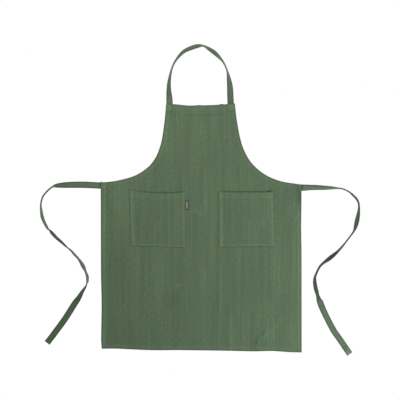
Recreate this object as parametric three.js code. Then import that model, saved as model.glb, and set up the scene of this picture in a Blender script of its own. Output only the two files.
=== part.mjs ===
// Kitchen apron of sewn cotton cloth, lying on its back on a flat surface, front side up.
// Units are millimetres. X runs across the apron, Y from its hem to its neck loop and Z up from the surface.
// The origin is the middle of the whole footprint, ties included, on the surface.

import * as THREE from 'three';

// Cloth: one wall, and the thicker wall where it is folded over into a hem
const CLOTH = 1.4;
const HEM = 2.4;
const HEM_WIDTH = 12;
const HEM_STEP = 2;
const BIB_HEM_DEPTH = 36;
const GAP = 0.3;

// Panel: the skirt is 700 wide, and hem to bib top is 860
const WAIST_LEFT = -345.5;
const WAIST_RIGHT = 353;
const HEM_LEFT = { x: -344, y: -517.4 };
const HEM_RIGHT = { x: 354, y: -530.6 };
const BIB_TOP_SAG = 5.5;
const WAIST_DIP = 140;
const SKIRT_ROWS = 16;
const BIB_ROWS = 14;
const PANEL_COLUMNS = 16;

// Armhole edges, from the bib's top corner down to the waist corner
const ARMHOLE = [
  { leftX: -118.2, leftY: 334, rightX: 121.5, rightY: 336 },
  { leftX: -124, leftY: 270, rightX: 129.5, rightY: 270 },
  { leftX: -139, leftY: 186, rightX: 148.5, rightY: 186 },
  { leftX: -166, leftY: 130.5, rightX: 178.5, rightY: 130.5 },
  { leftX: -218, leftY: 89, rightX: 226, rightY: 89 },
  { leftX: -291, leftY: 67, rightX: 280, rightY: 66 },
  { leftX: WAIST_LEFT, leftY: 61, rightX: WAIST_RIGHT, rightY: 54 },
];

// Low folds in the panel: middle of the ridge, its direction, half its length and width, and its rise
const FOLDS = [
  { x: 312, y: -6, turn: 64, halfLength: 92, halfWidth: 31, rise: 2.2 },
  { x: -300, y: -20, turn: 115, halfLength: 80, halfWidth: 32, rise: 1.6 },
  { x: -12, y: 225, turn: 86, halfLength: 95, halfWidth: 45, rise: 2.0 },
  { x: -215, y: -470, turn: 96, halfLength: 100, halfWidth: 48, rise: 2.4 },
  { x: 225, y: -475, turn: 82, halfLength: 105, halfWidth: 46, rise: 2.4 },
  { x: 10, y: -330, turn: 4, halfLength: 210, halfWidth: 42, rise: 1.8 },
];

// Straps: folded flat, so four layers thick
const STRAP_WIDTH = 22.2;
const STRAP_THICK = 2;
const STRAP_EDGE = 1;
const STRAP_STEP = 9;

// Where the straps are sewn behind the panel, which is lifted over their ends
const STRAP_SEATS = [
  { x: -106, y: 324, halfX: 14, halfY: 20 },
  { x: 107, y: 325, halfX: 14, halfY: 20 },
  { x: -332, y: 50, halfX: 20, halfY: 14 },
  { x: 341, y: 43, halfX: 20, halfY: 14 },
];
const SEAT_LIFT = STRAP_THICK + 2 * GAP;
const SEAT_RAMP = 42;

// Strap routes: the middle of the strap, and its roll about its own length.
// Roll 0 lies flat with the front face up, 90 and -90 stand on an edge and -180 shows the back face.
const NECK_STRAP = [
  { x: -106, y: 312, roll: 0 },
  { x: -106, y: 341, roll: 0 },
  { x: -107, y: 360, roll: -22 },
  { x: -108.5, y: 381, roll: -44 },
  { x: -107.5, y: 409, roll: -58 },
  { x: -103, y: 437, roll: -71 },
  { x: -95, y: 465, roll: -77 },
  { x: -79.5, y: 492, roll: -70 },
  { x: -55, y: 517, roll: -56 },
  { x: -24, y: 531, roll: -48 },
  { x: -8, y: 535.5, roll: -52 },
  { x: 12, y: 536, roll: -74 },
  { x: 29.5, y: 526.5, roll: -58 },
  { x: 50, y: 512.5, roll: -48 },
  { x: 70.5, y: 492.5, roll: -65 },
  { x: 84, y: 474, roll: -77 },
  { x: 94, y: 451, roll: -77 },
  { x: 100, y: 423, roll: -52 },
  { x: 104, y: 395, roll: -27 },
  { x: 105.5, y: 367, roll: -8 },
  { x: 106.5, y: 341, roll: 0 },
  { x: 107.5, y: 313, roll: 0 },
];

const LEFT_TIE = [
  { x: -321, y: 50, roll: 0 },
  { x: -349, y: 50.5, roll: 0 },
  { x: -402, y: 53, roll: 0 },
  { x: -457.5, y: 52.5, roll: -19 },
  { x: -485.5, y: 51, roll: -41 },
  { x: -500, y: 49.5, roll: -55 },
  { x: -514, y: 45, roll: -81 },
  { x: -532, y: 30, roll: -82 },
  { x: -547, y: 10, roll: -83 },
  { x: -553, y: -14, roll: -84 },
  { x: -552, y: -36, roll: -72 },
  { x: -548.5, y: -59, roll: -65 },
  { x: -540.5, y: -79, roll: -69 },
  { x: -530, y: -98, roll: -75 },
  { x: -522.5, y: -107.5, roll: -99 },
  { x: -515, y: -117, roll: -117 },
  { x: -499.5, y: -131, roll: -118 },
  { x: -485, y: -143.5, roll: -114 },
  { x: -465, y: -162, roll: -103 },
  { x: -457.5, y: -168.2, roll: -91 },
  { x: -449, y: -175, roll: -79 },
  { x: -437, y: -189, roll: -74 },
  { x: -422, y: -205, roll: -74 },
  { x: -406, y: -231, roll: -58 },
  { x: -398, y: -248, roll: -75 },
  { x: -391.5, y: -267, roll: -68 },
  { x: -391.5, y: -284, roll: -74 },
  { x: -394.2, y: -292, roll: -90 },
  { x: -397, y: -300, roll: -103 },
  { x: -407.5, y: -316, roll: -118 },
  { x: -422, y: -341, roll: -143 },
  { x: -435, y: -359, roll: -164 },
  { x: -469, y: -412.5, roll: -170 },
  { x: -499, y: -454, roll: -169 },
  { x: -531.8, y: -497.4, roll: -167 },
];

const RIGHT_TIE = [
  { x: 330, y: 43, roll: 0 },
  { x: 352, y: 43, roll: 0 },
  { x: 364, y: 43, roll: 12 },
  { x: 382, y: 43.5, roll: 32 },
  { x: 406, y: 43.5, roll: 39 },
  { x: 433, y: 42.5, roll: 50 },
  { x: 461, y: 42, roll: 65 },
  { x: 477, y: 41, roll: 78 },
  { x: 496, y: 38.5, roll: 87 },
  { x: 517, y: 29, roll: 84 },
  { x: 531, y: 17.5, roll: 76 },
  { x: 544, y: 4, roll: 75 },
  { x: 551.5, y: -11, roll: 80 },
  { x: 552.5, y: -31, roll: 75 },
  { x: 550, y: -52, roll: 60 },
  { x: 545.5, y: -74.5, roll: 50 },
  { x: 540.5, y: -94, roll: 61 },
  { x: 534.5, y: -109, roll: 78 },
  { x: 525.5, y: -122, roll: 85 },
  { x: 510.5, y: -141.5, roll: 86 },
  { x: 496, y: -160, roll: 78 },
  { x: 482, y: -175.5, roll: 73 },
  { x: 471, y: -186, roll: 64 },
  { x: 458.5, y: -196.5, roll: 55 },
  { x: 448, y: -205, roll: 56 },
  { x: 429, y: -219, roll: 72 },
  { x: 417, y: -231, roll: 75 },
  { x: 406, y: -252, roll: 76 },
  { x: 400, y: -267, roll: 73 },
  { x: 399, y: -283.5, roll: 60 },
  { x: 402, y: -305.5, roll: 55 },
  { x: 405.5, y: -318.5, roll: 54 },
  { x: 408.5, y: -329.5, roll: 62 },
  { x: 413.5, y: -346, roll: 42 },
  { x: 418.5, y: -357.5, roll: 8 },
  { x: 429.5, y: -384.5, roll: -10 },
  { x: 465, y: -454, roll: -13 },
  { x: 484.5, y: -482, roll: -13 },
  { x: 521.3, y: -536, roll: -13 },
];

// Patch pockets: corners on the panel, and how far the gaping mouth sags; the other sides are flat seams
const POCKETS = [
  {
    name: 'pocket_left',
    topLeft: [-246.8, 35.2],
    topRight: [-52.6, 28],
    bottomLeft: [-241.2, -159.5],
    bottomRight: [-50.2, -166],
    sag: 7,
  },
  {
    name: 'pocket_right',
    topLeft: [63.2, 28.7],
    topRight: [254.8, 28],
    bottomLeft: [65.2, -164.2],
    bottomRight: [259, -161.1],
    sag: 1,
  },
];
const POCKET_SEAM = 7;
const POCKET_GAPE = 7.2;
const POCKET_SIDE_RISE = 30;
const POCKET_FOOT_RISE = 46;
const POCKET_BAND = 22;
const POCKET_STEPS = 14;

// Plain folded tag in the inner side seam of the left pocket
const LABEL_WIDTH = 13.8;
const LABEL_LENGTH = 33.5;
const LABEL_THICK = 1.2;
const LABEL_TOP = -1;

const clothMaterial = (color) => new THREE.MeshStandardMaterial({ color, roughness: 0.9, metalness: 0 });
const lerp = THREE.MathUtils.lerp;
const smoothstep = THREE.MathUtils.smoothstep;

// Splits a length into even steps, with named cuts near either end, and gives fractions of the length.
function fractions(length, steps, nearStart, nearEnd) {
  const from = nearStart.at(-1) ?? 0;
  const to = length - (nearEnd[0] ?? 0);
  const even = [];
  for (let k = 0; k <= steps; k++) {
    even.push(lerp(from, to, k / steps));
  }
  const before = nearStart.slice(0, -1);
  const after = nearEnd.slice(1).map((distance) => length - distance);
  return [...before, ...even, ...after].map((distance) => distance / length);
}

// Closed sheet over a grid of points that each give x, y and the heights of both faces.
function sheet(grid) {
  const rows = grid.length;
  const columns = grid[0].length;
  const positions = [];
  for (const face of ['high', 'low']) {
    for (const row of grid) {
      for (const point of row) {
        positions.push(point.x, point.y, point[face]);
      }
    }
  }
  const top = (i, j) => i * columns + j;
  const under = (i, j) => rows * columns + top(i, j);
  const index = [];
  for (let i = 0; i < rows - 1; i++) {
    for (let j = 0; j < columns - 1; j++) {
      index.push(top(i, j), top(i, j + 1), top(i + 1, j + 1));
      index.push(top(i, j), top(i + 1, j + 1), top(i + 1, j));
      index.push(under(i, j), under(i + 1, j + 1), under(i, j + 1));
      index.push(under(i, j), under(i + 1, j), under(i + 1, j + 1));
    }
  }
  const rim = [];
  for (let j = 0; j < columns - 1; j++) {
    rim.push([0, j]);
  }
  for (let i = 0; i < rows - 1; i++) {
    rim.push([i, columns - 1]);
  }
  for (let j = columns - 1; j > 0; j--) {
    rim.push([rows - 1, j]);
  }
  for (let i = rows - 1; i > 0; i--) {
    rim.push([i, 0]);
  }
  rim.forEach((here, k) => {
    const next = rim[(k + 1) % rim.length];
    index.push(top(...here), under(...here), under(...next));
    index.push(top(...here), under(...next), top(...next));
  });
  return closedGeometry(positions, index);
}

function closedGeometry(positions, index) {
  const geometry = new THREE.BufferGeometry();
  geometry.setAttribute('position', new THREE.Float32BufferAttribute(positions, 3));
  geometry.setIndex(index);
  geometry.computeVertexNormals();
  return geometry;
}

// Height of the panel's underside over the surface: over the strap ends, and in its low folds.
function panelLift(x, y) {
  let lift = 0;
  for (const seat of STRAP_SEATS) {
    const outX = Math.max(0, Math.abs(x - seat.x) - seat.halfX);
    const outY = Math.max(0, Math.abs(y - seat.y) - seat.halfY);
    const away = Math.hypot(outX, outY) / SEAT_RAMP;
    lift = Math.max(lift, SEAT_LIFT * (1 - smoothstep(away, 0, 1)));
  }
  for (const fold of FOLDS) {
    const turn = THREE.MathUtils.degToRad(fold.turn);
    const along = ((x - fold.x) * Math.cos(turn) + (y - fold.y) * Math.sin(turn)) / fold.halfLength;
    const across = ((y - fold.y) * Math.cos(turn) - (x - fold.x) * Math.sin(turn)) / fold.halfWidth;
    const away = Math.min(1, Math.hypot(along, across));
    lift += fold.rise * (1 - smoothstep(away, 0, 1));
  }
  return lift;
}

// Rows of the panel from hem to bib top. Each row runs from edge to edge and dips in the middle,
// so that it leaves the side and the armhole nearly square to them.
function panelRows() {
  const edge = (side) => {
    const points = ARMHOLE.map((row) => new THREE.Vector2(row[`${side}X`], row[`${side}Y`]));
    return new THREE.SplineCurve(points.reverse());
  };
  const armholes = [edge('left'), edge('right')];
  const waist = ARMHOLE.at(-1);
  const skirtLength = waist.leftY - HEM_LEFT.y;
  const armholeLength = armholes[0].getLength();
  const rows = [];
  const bottomHem = [0, HEM_WIDTH, HEM_WIDTH + HEM_STEP];
  for (const v of fractions(skirtLength, SKIRT_ROWS, bottomHem, [])) {
    rows.push({
      left: new THREE.Vector2(lerp(HEM_LEFT.x, WAIST_LEFT, v), lerp(HEM_LEFT.y, waist.leftY, v)),
      right: new THREE.Vector2(lerp(HEM_RIGHT.x, WAIST_RIGHT, v), lerp(HEM_RIGHT.y, waist.rightY, v)),
      tangents: [new THREE.Vector2(0, 1), new THREE.Vector2(0, 1)],
      dip: WAIST_DIP * v * v,
    });
  }
  const topHem = [BIB_HEM_DEPTH + HEM_STEP, BIB_HEM_DEPTH, 0];
  for (const v of fractions(armholeLength, BIB_ROWS, [0], topHem).slice(1)) {
    rows.push({
      left: armholes[0].getPointAt(v),
      right: armholes[1].getPointAt(v),
      tangents: armholes.map((curve) => curve.getTangentAt(v)),
      dip: WAIST_DIP * (1 - v) ** 2 + BIB_TOP_SAG * v,
    });
  }
  return rows;
}

function panelGeometry() {
  const rows = panelRows();
  const sideHem = [0, HEM_WIDTH, HEM_WIDTH + HEM_STEP, 2 * HEM_WIDTH + HEM_STEP];
  const last = rows.length - 1;
  const grid = rows.map((row, i) => {
    const span = row.right.x - row.left.x;
    const slant = (4 * row.dip) / span;
    const squareTo = ([edgeX, edgeY], slope) => Math.hypot(1, slope) / Math.abs(edgeY - slope * edgeX);
    const stretchLeft = squareTo(row.tangents[0], -slant);
    const stretchRight = squareTo(row.tangents[1], slant);
    const scale = 1 / Math.hypot(1, slant);
    const nearLeft = sideHem.map((distance) => distance * stretchLeft * scale);
    const nearRight = sideHem.map((distance) => distance * stretchRight * scale).reverse();
    const across = fractions(span, PANEL_COLUMNS, nearLeft, nearRight);
    return across.map((u, j) => {
      const x = lerp(row.left.x, row.right.x, u);
      const y = lerp(row.left.y, row.right.y, u) - row.dip * 4 * u * (1 - u);
      const inHem = i < 2 || i > last - 2 || j < 2 || j > across.length - 3;
      const low = panelLift(x, y);
      return { x, y, low, high: low + (inHem ? HEM : CLOTH) };
    });
  });
  return sheet(grid);
}

// Patch pocket: seams lie on the panel, the middle bulges, and the mouth stands open.
function pocketGeometry(pocket) {
  const width = pocket.topRight[0] - pocket.topLeft[0];
  const depth = pocket.topLeft[1] - pocket.bottomLeft[1];
  const across = fractions(width, POCKET_STEPS, [0, POCKET_SEAM], [POCKET_SEAM, 0]);
  const band = [POCKET_BAND + HEM_STEP, POCKET_BAND, 0];
  const up = fractions(depth, POCKET_STEPS, [0, POCKET_SEAM], band);
  const seat = CLOTH + GAP;
  const grid = up.map((v, i) => across.map((u) => {
    const mix = (k) => lerp(
      lerp(pocket.bottomLeft[k], pocket.bottomRight[k], u),
      lerp(pocket.topLeft[k], pocket.topRight[k], u),
      v,
    );
    const fromSide = Math.min(u, 1 - u) * width - POCKET_SEAM;
    const fromFoot = v * depth - POCKET_SEAM;
    const rise = smoothstep(fromSide, 0, POCKET_SIDE_RISE) * smoothstep(fromFoot, 0, POCKET_FOOT_RISE);
    const low = seat + POCKET_GAPE * rise;
    const wall = i >= up.length - 2 ? HEM : CLOTH;
    return { x: mix(0), y: mix(1) - pocket.sag * v * 4 * u * (1 - u), low, high: low + wall };
  }));
  return sheet(grid);
}

// Strap along a route, with a flat section of thinned edges that always touches the surface.
function strapGeometry(route) {
  const curve = new THREE.CatmullRomCurve3(
    route.map((row) => new THREE.Vector3(row.x, row.y, row.roll)),
    false,
    'centripetal',
  );
  const half = STRAP_WIDTH / 2;
  const face = STRAP_THICK / 2;
  const section = [
    [half, 0], [half - STRAP_EDGE, face], [STRAP_EDGE - half, face],
    [-half, 0], [STRAP_EDGE - half, -face], [half - STRAP_EDGE, -face],
  ];
  const steps = Math.round(curve.getLength() / STRAP_STEP);
  const positions = [];
  const index = [];
  const sides = section.length;
  for (let k = 0; k <= steps; k++) {
    const middle = curve.getPointAt(k / steps);
    const tangent = curve.getTangentAt(k / steps);
    const flatSide = new THREE.Vector2(-tangent.y, tangent.x).normalize();
    const roll = THREE.MathUtils.degToRad(middle.z);
    const ring = section.map(([across, out]) => ({
      side: across * Math.cos(roll) - out * Math.sin(roll),
      rise: across * Math.sin(roll) + out * Math.cos(roll),
    }));
    const lowest = Math.min(...ring.map((point) => point.rise));
    for (const { side, rise } of ring) {
      positions.push(middle.x + side * flatSide.x, middle.y + side * flatSide.y, rise - lowest);
    }
    for (let s = 0; s < sides && k < steps; s++) {
      const here = k * sides + s;
      const next = k * sides + ((s + 1) % sides);
      index.push(here, next, next + sides);
      index.push(here, next + sides, here + sides);
    }
  }
  const end = steps * sides;
  for (let s = 1; s < sides - 1; s++) {
    index.push(0, s + 1, s);
    index.push(end, end + s, end + s + 1);
  }
  return closedGeometry(positions, index);
}

// Folded tag: its profile has a square sewn end and a rounded fold, and runs along the seam.
function labelGeometry() {
  const fold = LABEL_THICK / 2;
  const profile = new THREE.Shape();
  profile.moveTo(0, 0);
  profile.lineTo(LABEL_WIDTH - fold, 0);
  profile.absarc(LABEL_WIDTH - fold, fold, fold, -Math.PI / 2, Math.PI / 2, false);
  profile.lineTo(0, LABEL_THICK);
  return new THREE.ExtrudeGeometry(profile, { depth: LABEL_LENGTH, bevelEnabled: false, curveSegments: 6 });
}

const apron = new THREE.Group();

function addPiece(name, geometry, color) {
  const piece = new THREE.Mesh(geometry, clothMaterial(color));
  piece.name = name;
  apron.add(piece);
  return piece;
}

addPiece('apron_panel', panelGeometry(), '#5b6f56');
for (const pocket of POCKETS) {
  addPiece(pocket.name, pocketGeometry(pocket), '#596d54');
}
addPiece('neck_strap', strapGeometry(NECK_STRAP), '#5f7059');
addPiece('waist_tie_left', strapGeometry(LEFT_TIE), '#5a6853');
addPiece('waist_tie_right', strapGeometry(RIGHT_TIE), '#617560');

// The tag lies beside the seam, so it takes the seam's place and slant.
const [seamTopX, seamTopY] = POCKETS[0].topRight;
const [seamFootX, seamFootY] = POCKETS[0].bottomRight;
const labelAlong = (LABEL_TOP - seamFootY) / (seamTopY - seamFootY);
const labelSeat = new THREE.Group();
labelSeat.position.set(lerp(seamFootX, seamTopX, labelAlong) + GAP, LABEL_TOP, CLOTH + GAP);
labelSeat.rotation.z = Math.atan2(seamFootX - seamTopX, seamTopY - seamFootY);
const label = addPiece('pocket_label', labelGeometry(), '#7d7780');
label.rotation.x = Math.PI / 2;
labelSeat.add(label);
apron.add(labelSeat);

export default apron;
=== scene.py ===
# %% [markdown]
# # A kitchen apron, laid out flat
#
# The apron is sewn from one dyed cotton cloth: a panel that is bib and skirt in one, two patch pockets,
# a neck strap, two waist ties and a small folded tag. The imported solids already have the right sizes
# and places, so this lesson only dresses them. Each piece is built again as a finer mesh along the same
# outline, with turned hems, low folds, seams and stitches, and then gets a woven finish made of shader
# nodes.

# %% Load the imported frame
import math

import bpy
import numpy as np
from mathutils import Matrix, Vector
from mathutils.bvhtree import BVHTree


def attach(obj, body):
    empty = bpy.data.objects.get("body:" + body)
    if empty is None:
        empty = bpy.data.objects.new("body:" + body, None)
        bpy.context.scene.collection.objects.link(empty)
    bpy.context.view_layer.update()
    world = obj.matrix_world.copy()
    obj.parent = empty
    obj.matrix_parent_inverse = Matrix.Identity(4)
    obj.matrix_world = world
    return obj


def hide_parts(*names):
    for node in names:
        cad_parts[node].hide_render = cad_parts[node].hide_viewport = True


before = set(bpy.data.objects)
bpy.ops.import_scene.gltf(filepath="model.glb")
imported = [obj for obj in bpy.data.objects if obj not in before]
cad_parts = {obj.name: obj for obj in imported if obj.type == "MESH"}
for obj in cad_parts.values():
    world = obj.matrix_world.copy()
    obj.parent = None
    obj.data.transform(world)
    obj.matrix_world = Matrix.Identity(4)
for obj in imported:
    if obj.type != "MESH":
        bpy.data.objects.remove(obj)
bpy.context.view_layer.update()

print("solids:", sorted(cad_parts))

# %% [markdown]
# ## Camera
#
# A flat lay is photographed from straight above. A wide lens close by would make the standing straps
# lean outwards in the picture. A long lens from further away keeps them upright, and that is why it was
# chosen here.

# %% Camera straight above the apron
FRAME_WIDTH = 1.392  # floor that the picture takes in, from side to side
LENS_MM = 300
SENSOR_MM = 36


def add_object(name, data):
    """Adds an object that shows the data and links it to the scene."""
    made = bpy.data.objects.new(name, data)
    bpy.context.scene.collection.objects.link(made)
    return made


camera = add_object("overhead_camera", bpy.data.cameras.new("overhead_camera"))
camera.data.lens = LENS_MM
camera.data.sensor_width = SENSOR_MM
camera.location = (0, 0, FRAME_WIDTH * LENS_MM / SENSOR_MM)
bpy.context.scene.camera = camera
print("camera height:", round(camera.location.z, 3))

# %% [markdown]
# ## Colours and nodes
#
# Shader sockets take linear light, while colours are easiest to pick as sRGB hex values, so one
# function turns the one into the other. Another adds a node with its settings and links, which keeps
# each material below down to a list of what is wired to what.


# %% Helpers for materials
def linear(hex_colour):
    """The linear colour, with full alpha, of an sRGB hex value such as #5B6F57."""
    channels = [int(hex_colour[start:start + 2], 16) / 255 for start in (1, 3, 5)]
    return [c / 12.92 if c <= 0.04045 else ((c + 0.055) / 1.055) ** 2.4 for c in channels] + [1.0]


def add_node(tree, kind, inputs, **settings):
    """Adds a node. Each input, by name or number, is a constant or another node's output."""
    made = tree.nodes.new("ShaderNode" + kind)
    for name, value in settings.items():
        setattr(made, name, value)
    for key, value in inputs.items():
        if isinstance(value, bpy.types.NodeSocket):
            tree.links.new(value, made.inputs[key])
        else:
            made.inputs[key].default_value = value
    return made


def new_material(name):
    """Starts a material and gives it back with its node tree and its shader."""
    material = bpy.data.materials.new(name)
    material.use_nodes = True
    return material, material.node_tree, material.node_tree.nodes["Principled BSDF"]


print("mid green in linear light:", [round(c, 3) for c in linear("#5B6F57")[:3]])

# %% [markdown]
# ## Dyed cotton canvas
#
# The apron is plain woven cotton, dyed in the piece and washed once. Its yarns are uneven, so thick and
# thin places (slubs) run down the cloth as streaks that took the dye a little greener, browner or
# greyer, and here and there a single stray yarn stayed pale. The surface is matt, with a faint bloom of
# loose fibres. Folded edges turn away from the light, so they get painted shade. The raised strip along
# a hem catches the light, so it gets a painted highlight.
#
# An image texture could hold this, but noise that is stretched along the yarns needs no file and no
# unwrapping. Each mesh carries its own place in the cloth as an attribute, in metres, so the streaks
# keep their real size and follow each piece's grain, along a strap too. A second attribute, the tone,
# carries the painted light and shade: it is 1 on plain cloth, more under a painted highlight and less
# under painted shade.

# %% Sizes of the weave
THREAD_SPACING = 0.0006  # a medium canvas has about 17 threads to the centimetre
DRAWN_THREAD = 4 * THREAD_SPACING  # too fine to show from this far, so it is drawn four times as coarse

YARN_PATTERNS = {  # width across the warp, length along it, octaves of detail, and contrast if it is a tone
    "slub": (0.0125, 0.45, 3.0, 0),
    "dye": (0.0100, 0.050, 1.0, 0),
    "stray": (0.0042, 0.24, 0.0, 0),
    "yarn": (0.0044, 0.012, 1.0, 0.080),
    "weft": (0.015, 0.0042, 1.0, 0.078),
    "zone": (0.070, 0.36, 1.0, 0.034),
    "wash": (0.032, 0.100, 1.0, 0),
}
DYE_TINTS = ("#455E42", "#4E5B49")  # yarns that took more of the dye, and less
DYE_SHARE = 0.45
WASH_TINTS = ("#445C4C", "#505C41")  # bluer and browner places
WASH_SHARE = 0.20
STRAY_SHARE = (0.76, 0.88)  # noise levels between which a yarn turns into a pale stray one
STRAY_PALER = 1.12
NOISE_SPAN = (0.28, 0.72)  # noise seldom leaves this span, which is stretched to 0 and 1
PATTERN_SHIFT = (11.3, 5.7)  # from one pattern's place in the noise to the next one's
YARN_HEIGHT = 0.8  # of uneven yarn, against the weave's own height
COTTON_ROUGHNESS = (0.84, 0.96)
WAVE_RADIANS = 20  # that a wave texture of scale 1 runs through in a metre


def band_scale(pitch):
    """Scale of a wave texture whose bands repeat after a pitch in metres."""
    return 2 * math.pi / (WAVE_RADIANS * pitch)


print("slub streaks in mm:", [1000 * size for size in YARN_PATTERNS["slub"][:2]])


# %% Woven cotton material
def woven_cotton(name, deep, pale):
    """Matt dyed cotton: slub streaks between deep and pale, unevenly dyed, with stray pale yarns."""
    material, tree, shader = new_material(name)
    cloth = add_node(tree, "Attribute", {}, attribute_name="cloth").outputs["Vector"]
    tones = [add_node(tree, "Attribute", {}, attribute_name="tone").outputs["Fac"]]
    noise = {}
    for number, (pattern, (across, along, detail, contrast)) in enumerate(YARN_PATTERNS.items()):
        scale = (1 / across, 1 / along, 1)
        shift = (PATTERN_SHIFT[0] * number, PATTERN_SHIFT[1] * number, 0)
        place = add_node(tree, "VectorMath", {0: cloth, 1: scale, 2: shift}, operation="MULTIPLY_ADD")
        wave = add_node(tree, "TexNoise", {"Vector": place.outputs[0], "Scale": 1.0, "Detail": detail})
        stretch = {0: wave.outputs[0], 1: NOISE_SPAN[0], 2: NOISE_SPAN[1]}
        noise[pattern] = add_node(tree, "MapRange", stretch).outputs[0]
        if contrast:
            level = add_node(tree, "MapRange", {0: noise[pattern], 3: 1 - contrast, 4: 1 + contrast})
            tones.append(level.outputs[0])
    low, high = STRAY_SHARE
    stray = add_node(tree, "MapRange", {0: noise["stray"], 1: low, 2: high, 3: 1.0, 4: STRAY_PALER})
    tones.append(stray.outputs[0])

    # A colour mix takes its factor at input 0 and its colours at 6 and 7, and gives the result at output 2
    streaks = {0: noise["slub"], 6: linear(deep), 7: linear(pale)}
    colour = add_node(tree, "Mix", streaks, data_type="RGBA").outputs[2]
    for pattern, tints, share in (("dye", DYE_TINTS, DYE_SHARE), ("wash", WASH_TINTS, WASH_SHARE)):
        dyed = {0: noise[pattern], 6: linear(tints[0]), 7: linear(tints[1])}
        tint = add_node(tree, "Mix", dyed, data_type="RGBA").outputs[2]
        colour = add_node(tree, "Mix", {0: share, 6: colour, 7: tint}, data_type="RGBA").outputs[2]
    # the first tone is the attribute with the painted highlights and painted shade, and the rest are the
    # yarn's own unevenness
    for tone in tones:
        colour = add_node(tree, "VectorMath", {0: colour, 1: tone}, operation="MULTIPLY").outputs[0]
    tree.links.new(colour, shader.inputs["Base Color"])

    # Plain weave: the threads of one direction rise where those of the other dip
    threads = {"Vector": cloth, "Scale": band_scale(2 * DRAWN_THREAD)}
    warp = add_node(tree, "TexWave", threads, wave_type="BANDS", bands_direction="X").outputs[1]
    weft = add_node(tree, "TexWave", threads, wave_type="BANDS", bands_direction="Y").outputs[1]
    weave = add_node(tree, "Math", {0: warp, 1: weft}, operation="MULTIPLY").outputs[0]
    uneven = {0: noise["yarn"], 1: YARN_HEIGHT, 2: weave}
    height = add_node(tree, "Math", uneven, operation="MULTIPLY_ADD").outputs[0]
    bump = add_node(tree, "Bump", {"Strength": 0.35, "Distance": 0.0004, "Height": height})
    tree.links.new(bump.outputs[0], shader.inputs["Normal"])
    low, high = COTTON_ROUGHNESS
    rough = add_node(tree, "MapRange", {0: noise["slub"], 3: low, 4: high}).outputs[0]
    tree.links.new(rough, shader.inputs["Roughness"])
    shader.inputs["IOR"].default_value = 1.46
    shader.inputs["Specular IOR Level"].default_value = 0.3
    shader.inputs["Sheen Weight"].default_value = 0.12
    shader.inputs["Sheen Roughness"].default_value = 0.5
    return material


apron_canvas = woven_cotton("dyed_cotton_canvas", deep="#405137", pale="#55654B")
strap_canvas = woven_cotton("dyed_cotton_strap", deep="#42513C", pale="#526149")
print("cloth materials:", apron_canvas.name, strap_canvas.name)

# %% [markdown]
# ## Thread and tape
#
# The seams are sewn with a twisted cotton thread in the cloth's own green, so they show as fine darker
# dashes. The tag is a narrow woven tape of grey yarn with denser, darker borders. It is left bare.


# %% Thread and tape materials
PLY_LENGTH = 0.0011  # one turn of the thread's twist, drawn about twice as long as a real one


def twisted_thread(name, dark, light):
    """Cotton thread: slanted plies that catch the light in turn."""
    material, tree, shader = new_material(name)
    along = add_node(tree, "Attribute", {}, attribute_name="cloth").outputs["Vector"]
    twist = {"Vector": along, "Scale": band_scale(PLY_LENGTH)}
    plies = add_node(tree, "TexWave", twist, wave_type="BANDS", bands_direction="DIAGONAL").outputs[1]
    colour = add_node(tree, "Mix", {0: plies, 6: linear(dark), 7: linear(light)}, data_type="RGBA")
    tree.links.new(colour.outputs[2], shader.inputs["Base Color"])
    bump = add_node(tree, "Bump", {"Strength": 0.4, "Distance": 0.0001, "Height": plies})
    tree.links.new(bump.outputs[0], shader.inputs["Normal"])
    shader.inputs["Roughness"].default_value = 0.7
    shader.inputs["IOR"].default_value = 1.5
    return material


def woven_tape(name, border, middle):
    """Narrow tape: fine cross ribs, and a border of darker yarn where the tone is 0."""
    material, tree, shader = new_material(name)
    cloth = add_node(tree, "Attribute", {}, attribute_name="cloth").outputs["Vector"]
    tone = add_node(tree, "Attribute", {}, attribute_name="tone").outputs["Fac"]
    colour = add_node(tree, "Mix", {0: tone, 6: linear(border), 7: linear(middle)}, data_type="RGBA")
    tree.links.new(colour.outputs[2], shader.inputs["Base Color"])
    picks = {"Vector": cloth, "Scale": band_scale(DRAWN_THREAD)}
    ribs = add_node(tree, "TexWave", picks, wave_type="BANDS", bands_direction="Y").outputs[1]
    bump = add_node(tree, "Bump", {"Strength": 0.5, "Distance": 0.0002, "Height": ribs})
    tree.links.new(bump.outputs[0], shader.inputs["Normal"])
    shader.inputs["Roughness"].default_value = 0.75
    shader.inputs["IOR"].default_value = 1.5
    return material


seam_thread = twisted_thread("green_cotton_thread", "#3F5039", "#54674D")
tag_tape = woven_tape("grey_woven_tape", border="#393B36", middle="#747072")
print("thread and tape:", seam_thread.name, tag_tape.name)

# %% [markdown]
# ## Cloth as a closed mesh
#
# A piece of cloth could be a single surface with a Solidify modifier. Here its two faces are two grids
# of points, joined round the rim. That way each face has its own form: the front shows a soft ridge
# along a hem and a groove at each seam, and the back shows the turned edge itself.


# %% Helpers for meshes
def smooth(value, low, high):
    """0 below low, 1 above high, and an S-curve between."""
    share = np.clip((value - low) / (high - low), 0, 1)
    return share * share * (3 - 2 * share)


def bell(value, middle, half_width):
    """A smooth bell curve, 1 at the middle and 0 from half a width away."""
    return 1 - smooth(np.abs(value - middle) / half_width, 0, 1)


def add_piece(name, points, faces, material, measures):
    """Adds a smooth mesh whose points carry measures, which materials read as attributes."""
    mesh = bpy.data.meshes.new(name)
    mesh.from_pydata(points.tolist(), [], faces.tolist())
    for key, values in measures.items():
        kind, field = ("FLOAT_VECTOR", "vector") if values.ndim == 2 else ("FLOAT", "value")
        mesh.attributes.new(key, kind, "POINT").data.foreach_set(field, values.astype(np.float32).ravel())
    mesh.shade_smooth()
    mesh.materials.append(material)
    piece = add_object(name, mesh)
    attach(piece, "root")
    print(f"{name}: {sum(len(p.vertices) - 2 for p in mesh.polygons)} triangles")
    return piece


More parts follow.
